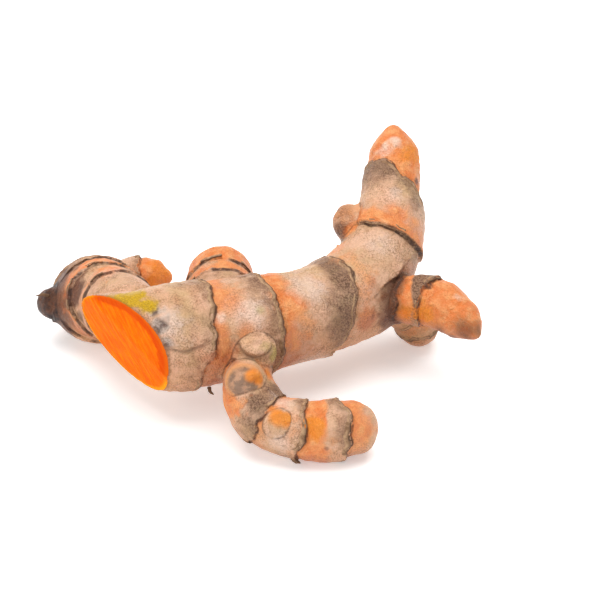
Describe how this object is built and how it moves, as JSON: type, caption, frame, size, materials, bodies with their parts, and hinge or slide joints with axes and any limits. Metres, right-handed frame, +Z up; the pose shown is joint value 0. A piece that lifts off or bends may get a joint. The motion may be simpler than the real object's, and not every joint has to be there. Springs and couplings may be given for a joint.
{
  "type": "turmeric root",
  "caption": "Fresh branched turmeric rhizome lying on a surface, with ring scars, fingers, knobs and buds, sliced across at one end to show orange flesh.",
  "frame": {"origin": "the middle of the footprint of the whole rhizome's box, on the surface it lies on", "axes": "+Z up; +X along the length of the rhizome, from the sliced end towards the tip of the right finger; +Y from the side of the front finger towards the raised upper finger"},
  "size_m": [0.1114, 0.0834, 0.0495],
  "materials": {
    "skin": "thin satin skin, pinkish tan with grey-olive bark and orange flushes, and moist orange flesh on the slice"
  },
  "bodies": {
    "root": {"rhizome": "skin"}
  },
  "joints": []
}
